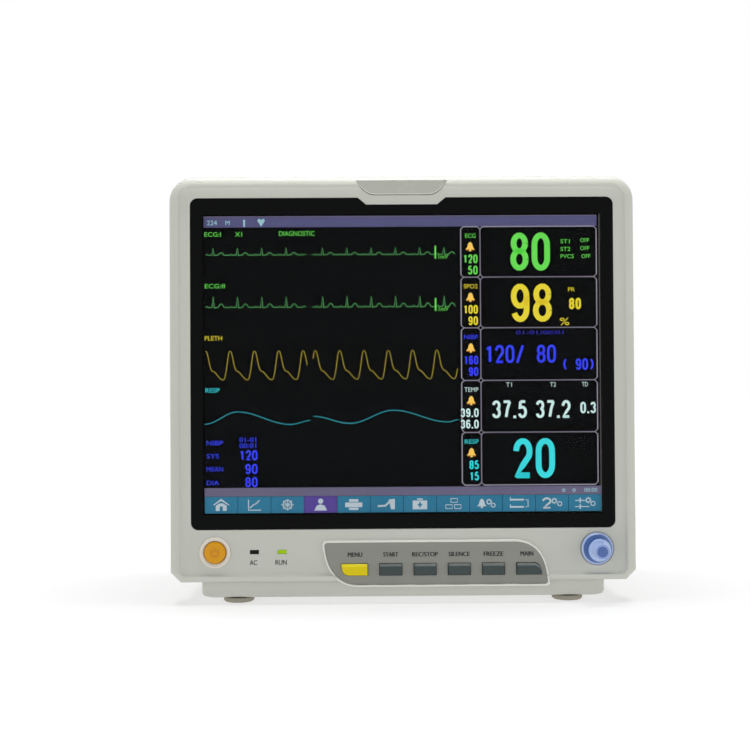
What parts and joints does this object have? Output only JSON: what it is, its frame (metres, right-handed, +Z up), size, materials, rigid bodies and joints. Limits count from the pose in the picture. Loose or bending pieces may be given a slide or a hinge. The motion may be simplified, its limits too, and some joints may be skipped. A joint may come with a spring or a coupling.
{
  "type": "patient monitor",
  "caption": "Bedside patient monitor: wide screen in a rimmed bezel over a key row, power button and push knob; folding top handle, side sockets, side recorder and a footed plinth.",
  "frame": {"origin": "on the ground under the middle of the overall box, at the bottom of the feet", "axes": "+X to the right as seen from the front, +Y from the screen to the rear, +Z up"},
  "size_m": [0.36, 0.178, 0.33],
  "materials": {
    "case": "fine satin moulded plastic, warm off-white",
    "glass": "black-edged flat window, glossy",
    "lcd": "lit colour display face in a metal frame",
    "steel": "plain sheet or turned steel",
    "board": "green circuit board",
    "lamp": "translucent grey light window",
    "panel": "darker grey satin overlay",
    "yellow": "yellow key",
    "slate": "slate grey key",
    "orange": "orange translucent cap",
    "ring": "white dished ring",
    "led_dark": "unlit lamp window",
    "led_lit": "lit yellow-green lamp window",
    "blue": "light blue satin plastic",
    "navy": "dark blue plastic",
    "rubber": "grey-brown rubber",
    "socket": "dark socket plastic",
    "socket_blue": "blue socket plastic",
    "paper": null,
    "black": "black plastic",
    "brass": "plain brass",
    "dark": "dark grey plastic"
  },
  "bodies": {
    "case": {"front_bezel": "case", "screen_glass": "glass", "lcd_panel": "lcd", "lcd_bracket": "steel", "alarm_lamp": "lamp", "alarm_led_board": "board", "key_panel": "panel", "power_ring": "ring", "led_ac": "led_dark", "led_run": "led_lit", "encoder_body": "dark", "key_board": "board", "rear_cover": "case", "plinth": "case", "foot_front_left": "rubber", "foot_front_right": "rubber", "foot_rear_left": "rubber", "foot_rear_right": "rubber", "handle_pin_left": "steel", "handle_pin_right": "steel", "connector_panel": "panel", "ecg_socket": "socket", "spo2_socket": "socket_blue", "temp_socket_1": "socket", "temp_socket_2": "socket", "nibp_socket": "steel", "recorder_bay": "dark", "recorder_hinge_pin": "steel", "print_head": "dark", "battery_pack": "black", "ac_inlet": "black", "lan_port": "steel", "vga_port": "steel", "earth_stud": "brass", "speaker": "black", "main_board": "board", "power_supply": "steel", "measuring_module": "steel", "nibp_pump": "dark", "case_screw_1": "steel", "case_screw_2": "steel", "case_screw_3": "steel", "case_screw_4": "steel"},
    "power_button": {"power_button": "orange"},
    "knob_plunger": {"encoder_plunger": "brass"},
    "knob": {"nav_knob": "blue", "knob_cap": "navy", "encoder_shaft": "steel"},
    "carry_handle": {"carry_handle": "case"},
    "recorder_door": {"recorder_door": "case"},
    "platen": {"platen_roller": "rubber"},
    "paper": {"paper_roll": "paper"},
    "recorder_latch": {"recorder_latch": "slate"},
    "battery_door": {"battery_door": "case"},
    "key_menu": {"key_menu": "yellow"},
    "key_start": {"key_start": "slate"},
    "key_record": {"key_record": "slate"},
    "key_silence": {"key_silence": "slate"},
    "key_freeze": {"key_freeze": "slate"},
    "key_main": {"key_main": "slate"}
  },
  "joints": [
    {"name": "power_press", "type": "slide", "parent": "case", "child": "power_button", "axis": [0, 1, 0], "range_m": [0, 0.0015], "stiffness_N_per_m": 700},
    {"name": "key_menu_press", "type": "slide", "parent": "case", "child": "key_menu", "axis": [0, 1, 0], "range_m": [0, 0.0012], "stiffness_N_per_m": 800},
    {"name": "key_start_press", "type": "slide", "parent": "case", "child": "key_start", "axis": [0, 1, 0], "range_m": [0, 0.0012], "stiffness_N_per_m": 800},
    {"name": "key_record_press", "type": "slide", "parent": "case", "child": "key_record", "axis": [0, 1, 0], "range_m": [0, 0.0012], "stiffness_N_per_m": 800},
    {"name": "key_silence_press", "type": "slide", "parent": "case", "child": "key_silence", "axis": [0, 1, 0], "range_m": [0, 0.0012], "stiffness_N_per_m": 800},
    {"name": "key_freeze_press", "type": "slide", "parent": "case", "child": "key_freeze", "axis": [0, 1, 0], "range_m": [0, 0.0012], "stiffness_N_per_m": 800},
    {"name": "key_main_press", "type": "slide", "parent": "case", "child": "key_main", "axis": [0, 1, 0], "range_m": [0, 0.0012], "stiffness_N_per_m": 800},
    {"name": "knob_press", "type": "slide", "parent": "case", "child": "knob_plunger", "axis": [0, 1, 0], "range_m": [0, 0.0006], "stiffness_N_per_m": 4000},
    {"name": "knob_turn", "type": "hinge", "parent": "knob_plunger", "child": "knob", "pos_m": [0.1494, -0.08, 0.0414], "axis": [0, -1, 0], "continuous": true},
    {"name": "handle_swing", "type": "hinge", "parent": "case", "child": "carry_handle", "pos_m": [0, 0.02, 0.315], "axis": [-1, 0, 0], "range_deg": [0, 92]},
    {"name": "recorder_door_swing", "type": "hinge", "parent": "case", "child": "recorder_door", "pos_m": [0.1716, 0, 0.0702], "axis": [0, 1, 0], "range_deg": [0, 70]},
    {"name": "platen_turn", "type": "hinge", "parent": "recorder_door", "child": "platen", "pos_m": [0.164, 0, 0.15], "axis": [0, 1, 0], "continuous": true},
    {"name": "paper_turn", "type": "hinge", "parent": "case", "child": "paper", "pos_m": [0.138, 0, 0.0863], "axis": [0, 1, 0], "continuous": true},
    {"name": "recorder_latch_press", "type": "slide", "parent": "case", "child": "recorder_latch", "axis": [-1, 0, 0], "range_m": [0, 0.0018], "stiffness_N_per_m": 500},
    {"name": "battery_door_swing", "type": "hinge", "parent": "case", "child": "battery_door", "pos_m": [-0.07, 0.084, 0.0467], "axis": [-1, 0, 0], "range_deg": [0, 90]}
  ],
  "couplings": [
    {"joint": "platen_turn", "follows": "paper_turn", "ratio": -4}
  ]
}
